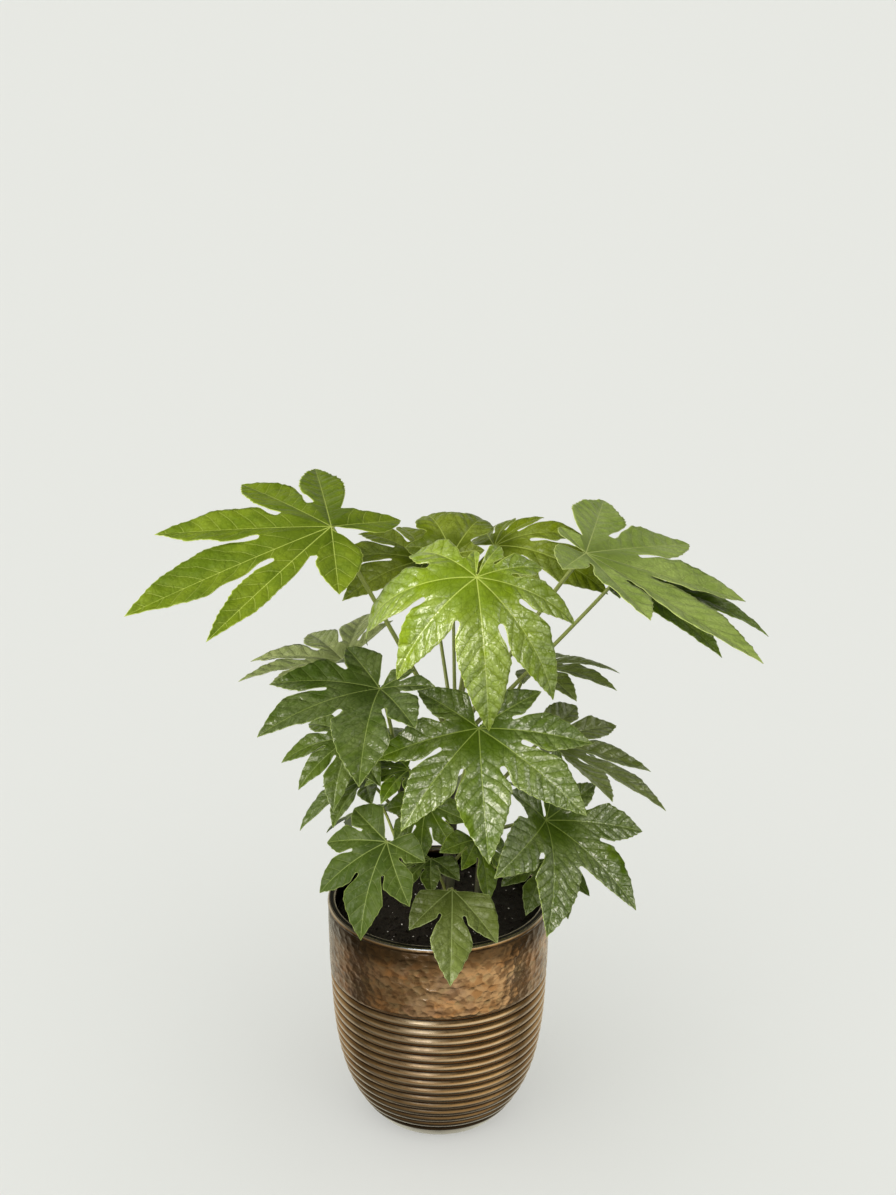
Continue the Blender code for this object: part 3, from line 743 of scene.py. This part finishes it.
# Each tint is the blade's darker and lighter green and the colour of its veins. The first three go
# by age; the others are set for single leaves. The grey in the pale tint, and in the grey tint of the
# middle back left leaf, is partly painted sheen: the bright backdrop as a far, tilted leaf shows it.
TINTS = {
    "young": ((0.105, 0.168, 0.003), (0.145, 0.212, 0.006), (0.33, 0.40, 0.09)),
    "grown": ((0.046, 0.086, 0.002), (0.074, 0.120, 0.005), (0.22, 0.29, 0.06)),
    "old": ((0.036, 0.064, 0.004), (0.056, 0.088, 0.008), (0.17, 0.22, 0.07)),
    "pale": ((0.134, 0.194, 0.034), (0.190, 0.256, 0.062), (0.36, 0.42, 0.15)),
    "soft": ((0.062, 0.101, 0.003), (0.103, 0.148, 0.007), (0.33, 0.40, 0.09)),
    "grey_sheen": ((0.130, 0.165, 0.055), (0.190, 0.225, 0.085), (0.25, 0.29, 0.13)),
    "olive": ((0.066, 0.098, 0.002), (0.112, 0.152, 0.004), (0.27, 0.33, 0.07)),
    "hazy": ((0.074, 0.102, 0.016), (0.105, 0.138, 0.030), (0.25, 0.31, 0.11)),
    "deep": ((0.029, 0.052, 0.005), (0.045, 0.071, 0.009), (0.17, 0.22, 0.06)),
}
stalk_green = stalk_finish()


def leaf(
    name, at, heading, tilt, cone, droop, lobes, stem, roll=0, age="grown",
    width=0.18, belly=0.54, cut=0.35, wax_and_sheen=0.35, gloss=0.30, tint=None,
):
    """One leaf: its blade, set on the end of its stalk as in the frame, and its stalk. Its middle lobe
    points along heading, seen from above, with 0 to the right. Cone is how far the blade slopes down
    where the stalk meets it, and droop is how much more it bends by its tips. A lobe is its direction
    off the middle, its length and how broad it is for its kind. Angles are in degrees, lengths in mm.
    Stem names the stem that carries the leaf, and the height at which the stalk leaves it."""
    angles = [math.radians(lobe[0]) for lobe in lobes]
    lengths = [lobe[1] * MM for lobe in lobes]
    widths = [width * (lobe[2] if len(lobe) > 2 else 1) for lobe in lobes]
    longest = max(lengths)
    seed = sum(map(ord, name))
    behind = min(math.radians(38), (math.tau - angles[-1] + angles[0]) / 2 - math.radians(4))
    bays = [(STALK_NOTCH, angles[0] - behind, behind)]
    for left in range(1, len(lobes)):
        half = (angles[left] - angles[left - 1]) / 2
        pair = (lengths[left], lengths[left - 1])
        reach = round(min(cut * sum(pair) / 2, 0.7 * min(pair)) / ROW_UNIT) * ROW_UNIT
        bays.append((reach, angles[left] - half, half))
    bays.append((STALK_NOTCH, angles[-1] + behind, behind))
    points, faces = lay_out(angles, lengths, widths, bays, belly)
    gap = 9 * MM + longest * 0.05
    radius, turn = points[:, 0], points[:, 1]
    level = np.full(len(points), seed % 7 * 0.1)
    flat = np.stack([radius * np.cos(turn), radius * np.sin(turn), level], axis=1)
    waver = 4 * MM * field(flat, 26 * MM)
    places = bent(points, flat, waver, longest, math.radians(cone), math.radians(droop), gap)
    pose = np.array(Euler(np.radians((roll, tilt, heading))).to_matrix())
    base = np.array(at) * MM
    mesh = bpy.data.meshes.new(name)
    mesh.from_pydata((places @ pose.T + base).tolist(), [], [list(face) for face in faces])
    along, across, edge, length = np.array([mark for face in faces for mark in face.values()]).T
    waver = waver[[index for face in faces for index in face]]
    veins = np.stack([side_vein(along, across, waver, gap), np.abs(across) * UV_PER_METRE], axis=1)
    rims = np.stack([edge * UV_PER_METRE, along / length], axis=1)
    for layer, values in (("vein", veins), ("rim", rims)):
        mesh.uv_layers.new(name=layer).uv.foreach_set("vector", values.ravel().astype(np.float32))
    mesh.shade_smooth()
    green, light, vein = TINTS[tint or age]
    upper = upper_finish(name, green, light, vein, wax_and_sheen, gloss)
    blade = show(name.replace("leaf_", "blade_"), mesh, upper, under_finish(name, light, vein))
    thicken = blade.modifiers.new("Thickness", "SOLIDIFY")
    thicken.thickness = BLADE_THICKNESS
    thicken.offset = -1
    thicken.material_offset = 1
    thicken.use_quality_normals = True
    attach(blade, "root")
    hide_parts(name)
    collar, top = stems[stem[0]]
    share = (stem[1] * MM - collar[2]) / (top[2] - collar[2])
    root = collar + (top - collar) * share
    end = base + pose @ np.array((-0.6, 0, -0.7)) * MM
    run = end - root
    reach = np.linalg.norm(run)
    arrival = run / reach * 0.75 + pose @ np.array((0.6, 0, 0.8)) * 0.25
    path = bezier(root, root + run * 0.3, end - arrival * reach * 0.3, end, STALK_STEPS)
    radius = 1.3 * MM + longest * 0.004
    share = np.linspace(0, 1, STALK_STEPS)
    swelling = 1 + 0.35 * (1 - share) ** 2 + 0.6 * np.exp(-share * 22) - 0.12 * smooth(share, 0.9, 1.0)
    stalk_mesh = tube(name, path, radius * swelling, STALK_SIDES)
    stalk = show(name.replace("leaf_", "stalk_"), stalk_mesh, stalk_green)
    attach(stalk, "root")


# The crown: the youngest and largest leaves, on the longest stalks, spread out from the top of the
# tall stem. Those at the sides lie nearly flat, and the front one hangs, silver with wax and a painted
# sheen.
leaf(
    "leaf_crown_left", at=(-107, -30, 691), heading=164, tilt=-7, roll=-12, cone=12, droop=5,
    age="young", lobes=[
        (-126, 90, 1.5), (-66, 225, 0.68), (-40, 195, 1.0), (3, 195, 1.12), (43, 225, 1.05),
        (70, 190, 0.7), (115, 95, 1.4),
    ],
    width=0.16, belly=0.58, stem=("stem_tall", 440), wax_and_sheen=0.04, gloss=0.42, tint="soft",
)
leaf(
    "leaf_crown_front", at=(37, -130, 671), heading=-99, tilt=32, roll=-4, cone=0, droop=93, age="young",
    lobes=[
        (-170, 40, 1.2), (-131, 120, 1.15), (-86, 180, 0.95), (-41, 135, 1.05), (13, 165, 1.0),
        (50, 155, 1.0), (89, 120, 1.0), (124, 80, 1.45), (163, 60, 1.3),
    ],
    belly=0.5, stem=("stem_tall", 455), wax_and_sheen=0.75, gloss=0.26,
)
leaf(
    "leaf_crown_inner_left", at=(-14, 75, 620), heading=-177, tilt=-12, roll=-15, cone=-7, droop=43,
    age="young", lobes=[(-113, 60), (-74, 90), (-39, 95), (0, 110), (38, 110), (75, 85), (113, 60)],
    width=0.21, stem=("stem_tall", 450), tint="olive",
)
leaf(
    "leaf_crown_back", at=(15, 35, 640), heading=92, tilt=-42, cone=-10, droop=80, age="young",
    lobes=[(-80, 35), (-30, 95), (20, 95), (72, 55)], width=0.24, cut=0.7,
    stem=("stem_tall", 460), tint="olive",
)
leaf(
    "leaf_crown_inner_right", at=(60, 90, 631), heading=-8, tilt=-30, roll=19, cone=-2, droop=78,
    age="young", lobes=[(-105, 75), (-70, 100), (-34, 145), (0, 100), (36, 70), (75, 70), (105, 75)],
    width=0.24, stem=("stem_tall", 458), tint="olive",
)
leaf(
    "leaf_crown_right", at=(150, -20, 659.5), heading=6, tilt=19, roll=5, cone=-2, droop=4,
    lobes=[
        (-117, 80, 1.2), (-72, 145, 0.95), (-45, 225, 0.78), (-2, 176, 1.25), (41, 184, 1.0),
        (75, 188, 0.85), (113, 55, 1.3),
    ],
    width=0.19, belly=0.56, stem=("stem_tall", 445), wax_and_sheen=0.2, gloss=0.34, tint="pale",
)
leaf(
    "leaf_crown_under_right", at=(180, 12, 614), heading=12, tilt=1, roll=2, cone=-6, droop=43,
    age="old", lobes=[(-95, 40), (-58, 155), (-19, 175), (19, 140), (57, 80), (95, 40)], width=0.14,
    stem=("stem_tall", 435), tint="grown",
)


# The middle tier: full-grown leaves on shorter stalks, from the tops of the shorter stems. They are
# thicker and darker than the crown's, and each tips outwards to the light.
leaf(
    "leaf_mid_left", at=(-58, -100, 544), heading=-108, tilt=18, roll=4, cone=-20, droop=40, age="old",
    lobes=[(-133, 70), (-82, 115), (-47, 135), (11, 150), (42, 95), (84, 65), (122, 40)], width=0.245,
    belly=0.48, cut=0.42, stem=("stem_left", 405), wax_and_sheen=0.45, gloss=0.18, tint="deep",
)
leaf(
    "leaf_mid_back_left", at=(-99, 30, 522), heading=150, tilt=19, roll=-4, cone=-20, droop=23,
    lobes=[(-113, 75), (-75, 110), (-38, 110), (0, 125), (37, 115), (75, 100), (113, 75)], width=0.19,
    stem=("stem_left", 415), tint="grey_sheen",
)
leaf(
    "leaf_mid_under_left", at=(-89, -40, 466), heading=-149, tilt=24, roll=-9, cone=-8, droop=44,
    age="old", lobes=[(-115, 55), (-77, 75), (-39, 90), (1, 80), (38, 90), (77, 75), (115, 60)],
    width=0.19, stem=("stem_left", 385),
)
leaf(
    "leaf_low_left", at=(-76, -29, 413), heading=-163, tilt=27, roll=3, cone=-14, droop=42, age="old",
    lobes=[(-120, 50), (-80, 65), (-43, 60), (0, 90), (41, 75), (81, 60), (120, 50)], width=0.2,
    stem=("stem_left", 352),
)
leaf(
    "leaf_mid_front", at=(40, -130, 514), heading=-88, tilt=38, roll=7, cone=-8, droop=41,
    lobes=[(-130, 80), (-80, 110), (-41, 130), (1, 140), (48, 140), (81, 115), (121, 75)], width=0.215,
    belly=0.45, cut=0.36, stem=("stem_front", 390), wax_and_sheen=0.76, gloss=0.27,
)
leaf(
    "leaf_mid_right", at=(108, 0, 442), heading=-34, tilt=27, roll=-14, cone=-21, droop=20,
    lobes=[(-104, 55), (-69, 80), (-32, 140), (0, 155), (33, 125), (74, 120), (98, 95)], width=0.17,
    stem=("stem_right", 370), wax_and_sheen=0.6, gloss=0.26, tint="hazy",
)
leaf(
    "leaf_mid_back_right", at=(98, 90, 491), heading=-22, tilt=-6, roll=-2, cone=-7, droop=39, age="old",
    lobes=[(-76, 50), (-37, 95), (-1, 105), (38, 110), (76, 85)], width=0.17,
    stem=("stem_right", 405), tint="hazy",
)


# The low leaves: older and smaller blades on short stalks. The outer ones hang over the pot's lip,
# and the smallest fill the middle just above the compost.
leaf(
    "leaf_low_right", at=(109, -110, 404), heading=-30, tilt=48, roll=7, cone=-27, droop=41, age="old",
    lobes=[(-140, 65), (-85, 130), (-52, 145), (5, 130), (51, 115), (89, 75), (134, 80)], width=0.215,
    belly=0.46, cut=0.46, stem=("stem_right", 330), wax_and_sheen=0.95, gloss=0.26, tint="grown",
)
leaf(
    "leaf_low_front_left", at=(-52, -130, 390), heading=-145, tilt=39, roll=-10, cone=-12, droop=46,
    age="old", lobes=[(-98, 65), (-61, 75), (-23, 90), (23, 105), (61, 80), (96, 55)],
    width=0.27, belly=0.48, cut=0.44, stem=("stem_left", 310), wax_and_sheen=0.05, tint="deep",
)
leaf(
    "leaf_low_front", at=(14, -125, 334), heading=-92, tilt=31, roll=-4, cone=-12, droop=45,
    lobes=[(-41, 65), (1, 105), (40, 75)], width=0.24, belly=0.46, cut=0.4, stem=("stem_front", 290),
    tint="hazy",
)
leaf(
    "leaf_hanging_front", at=(-12, -70, 405), heading=-110, tilt=60, cone=-5, droop=45,
    lobes=[(-75, 50), (-36, 60), (-1, 65), (38, 60), (75, 50)], width=0.23, belly=0.5, cut=0.42,
    stem=("stem_front", 350),
)
leaf(
    "leaf_low_inner", at=(39, -80, 368), heading=-68, tilt=35, roll=-21, cone=-6, droop=45,
    lobes=[(-76, 50), (-40, 45), (1, 70), (37, 50), (76, 50)], width=0.23, belly=0.5, cut=0.42,
    stem=("stem_front", 320),
)
leaf(
    "leaf_rim_right", at=(114, -50, 329), heading=-67, tilt=28, cone=-8, droop=44, age="old",
    lobes=[(-76, 60), (-39, 70), (1, 70), (35, 60), (70, 35)], width=0.22, belly=0.5, cut=0.42,
    stem=("stem_right", 285),
)
leaf(
    "leaf_inner_left", at=(-30, -78, 446), heading=-163, tilt=6, roll=-8, cone=-10, droop=44,
    lobes=[(-77, 45), (-38, 55), (-1, 50), (39, 55), (77, 45)], width=0.22, belly=0.5,
    stem=("stem_left", 375),
)
leaf(
    "leaf_rim_inner", at=(-8, -56, 334), heading=-130, tilt=15, roll=3, cone=-10, droop=39, age="old",
    lobes=[(-70, 35), (-36, 48), (-1, 58), (39, 55), (76, 50)], width=0.22, belly=0.5,
    stem=("stem_front", 280),
)


# The back leaves: the same kinds and sizes as the low ones in front, on stalks from the same stems,
# so that the plant is full from every side.
leaf(
    "leaf_back_left", at=(-45, 95, 405), heading=118, tilt=18, roll=4, cone=-14, droop=45, age="old",
    lobes=[(-115, 65), (-77, 95), (-38, 115), (0, 125), (38, 115), (77, 95), (115, 65)], width=0.21,
    belly=0.5, cut=0.4, stem=("stem_left", 365),
)
leaf(
    "leaf_back_right", at=(75, 105, 400), heading=58, tilt=20, roll=-4, cone=-14, droop=45, age="old",
    lobes=[(-115, 65), (-77, 95), (-38, 120), (0, 130), (38, 120), (77, 95), (115, 65)], width=0.21,
    belly=0.5, cut=0.4, stem=("stem_right", 350),
)
leaf(
    "leaf_back_middle", at=(15, 115, 345), heading=90, tilt=28, cone=-12, droop=45,
    lobes=[(-115, 55), (-77, 80), (-38, 95), (0, 105), (38, 95), (77, 80), (115, 55)], width=0.21,
    belly=0.5, cut=0.4, stem=("stem_tall", 300),
)
leaf(
    "leaf_back_low_left", at=(-62, 75, 330), heading=128, tilt=28, cone=-12, droop=45, age="old",
    lobes=[(-76, 65), (-38, 80), (0, 90), (38, 75), (76, 45)], width=0.22, belly=0.5, cut=0.42,
    stem=("stem_left", 295),
)


# The studio: a plain pale floor and a pale wall far behind it, faint light from all round, two soft
# lamps, and tall windows whose light gleams on the leaves and the metal. The floor has two lamps of
# its own, so that it stays even.
FLOOR_SIDE = 40
WALL_RADIUS = 38
WALL_HEIGHT = 30
WALL_SIDES = 96
WINDOW_DISTANCE = 2.3
DAYLIGHT = (1, 0.975, 0.87)
PLAIN_LIGHT = (1, 1, 0.98)
WINDOW_LIGHT = (1, 0.93, 0.86)
COOL_LIGHT = (0.50, 0.68, 1.0)

camera_data = bpy.data.cameras.new("camera")
camera_data.lens = 60
camera_data.sensor_width = 36
camera = bpy.data.objects.new("camera", camera_data)
camera.location = (0.0034, -1.936, 1.288)
camera.rotation_euler = (math.radians(90 - 19.45), 0, math.radians(-0.2))
bpy.context.scene.collection.objects.link(camera)
bpy.context.scene.camera = camera

floor_mesh = bpy.data.meshes.new("floor")
floor_corners = [(x * FLOOR_SIDE, y * FLOOR_SIDE, 0) for x, y in ((-1, -1), (1, -1), (1, 1), (-1, 1))]
floor_mesh.from_pydata(floor_corners, [], [(0, 1, 2, 3)])
floor_finish, _, _ = finish(
    "pale_floor", Base_Color=(0.704, 0.712, 0.702, 1), Roughness=0.9, Specular_IOR_Level=0.0
)
floor = show("floor", floor_mesh, floor_finish)
floor.visible_glossy = False

wall_profile = [(WALL_RADIUS, height, 0) for height in (0, WALL_HEIGHT)]
wall_mesh = turned("wall", wall_profile, WALL_SIDES, lambda radius, height, turn: 0)
wall_finish, _, _ = finish(
    "pale_wall", Base_Color=(0, 0, 0, 1), Specular_IOR_Level=0.0,
    Emission_Color=(0.79, 0.80, 0.755, 1), Emission_Strength=1.0,
)
wall_finish.cycles.emission_sampling = "NONE"
studio_wall = show("wall", wall_mesh, wall_finish)
for sight in ("visible_diffuse", "visible_glossy", "visible_transmission", "visible_shadow"):
    setattr(studio_wall, sight, False)


def aimed(name, kind, power, colour, azimuth, elevation, pieces, only):
    """A light turned to the pot, and the direction it stands in, where azimuth 0 is the front and 90
    the right. It lights these pieces only, or else all but these."""
    data = bpy.data.lights.new(name, kind)
    data.energy = power
    data.color = colour
    obj = bpy.data.objects.new(name, data)
    around, up = math.radians(azimuth), math.radians(elevation)
    away = Vector((math.sin(around) * math.cos(up), -math.cos(around) * math.cos(up), math.sin(up)))
    obj.rotation_euler = away.to_track_quat("Z", "Y").to_euler()
    bpy.context.scene.collection.objects.link(obj)
    lit = bpy.data.collections.new(name + "_lit")
    for piece in pieces:
        lit.objects.link(piece)
    for link in lit.collection_objects:
        link.light_linking.link_state = "INCLUDE" if only else "EXCLUDE"
    obj.light_linking.receiver_collection = lit
    return obj, away


def lamp(
    name, azimuth, elevation, strength, spread, pieces, only=False, mirrored=True, shadows=True,
    colour=DAYLIGHT,
):
    """A large soft lamp far away. One that isn't mirrored lights the leaves but doesn't gleam on them."""
    obj, _ = aimed(name, "SUN", strength, colour, azimuth, elevation, pieces, only)
    obj.data.angle = math.radians(spread)
    obj.data.use_shadow = shadows
    obj.visible_glossy = mirrored


def window(name, azimuth, width, low, high, glow, pieces, only=False, colour=WINDOW_LIGHT):
    """A tall lit pane, facing the pot, from one height to another."""
    power = glow * math.pi * width * (high - low)
    obj, away = aimed(name, "AREA", power, colour, azimuth, 0, pieces, only)
    obj.data.shape = "RECTANGLE"
    obj.data.size, obj.data.size_y = width, high - low
    obj.location = away * WINDOW_DISTANCE + Vector((0, 0, (low + high) / 2))
    obj.visible_camera = False


lamp("top_lamp", azimuth=-50, elevation=60, strength=2.4, spread=90, pieces=[floor], mirrored=False)
lamp("right_lamp", azimuth=88, elevation=42, strength=0.7, spread=28, pieces=[floor, pot])
lamp(
    "floor_lamp", azimuth=0, elevation=40, strength=0.6, spread=80, pieces=[floor], only=True,
    colour=PLAIN_LIGHT,
)
lamp(
    "floor_fill", azimuth=0, elevation=70, strength=2.93, spread=90, pieces=[floor], only=True,
    shadows=False, colour=PLAIN_LIGHT,
)
window("left_window", azimuth=-66, width=1.5, low=0.3, high=2.9, glow=8.5, pieces=[floor, pot])
window("front_window", azimuth=4, width=1.3, low=0.9, high=3.3, glow=5.2, pieces=[floor, pot])
window(
    "pot_window", azimuth=-17, width=0.85, low=0.0, high=1.9, glow=5.0, pieces=[pot], only=True,
    colour=COOL_LIGHT,
)

world = bpy.data.worlds.new("studio")
world.use_nodes = True
sky = world.node_tree
toward = add(sky, "SeparateXYZ", Vector=add(sky, "TexCoord")["Generated"])
behind = times(sky, remap(sky, toward["Y"], 0.0, 0.5), remap(sky, toward["Z"], 0.15, 0.5, 1.0, 0.0))
in_front = times(
    sky,
    remap(sky, toward["Z"], -0.9, -0.55), remap(sky, toward["Z"], -0.1, 0.15, 1.0, 0.0),
    remap(sky, toward["Y"], -0.4, 0.1, 1.0, 0.0), remap(sky, toward["X"], -0.8, 0.8, 0.4, 1.5),
)
light = calc(sky, "MULTIPLY_ADD", behind, 0.65, calc(sky, "MULTIPLY_ADD", in_front, 0.85, 0.11))
fill(sky, sky.nodes["Background"], {"Color": (0.97, 0.97, 0.80, 1), "Strength": light})
bpy.context.scene.world = world
bpy.context.scene.view_settings.view_transform = "Standard"
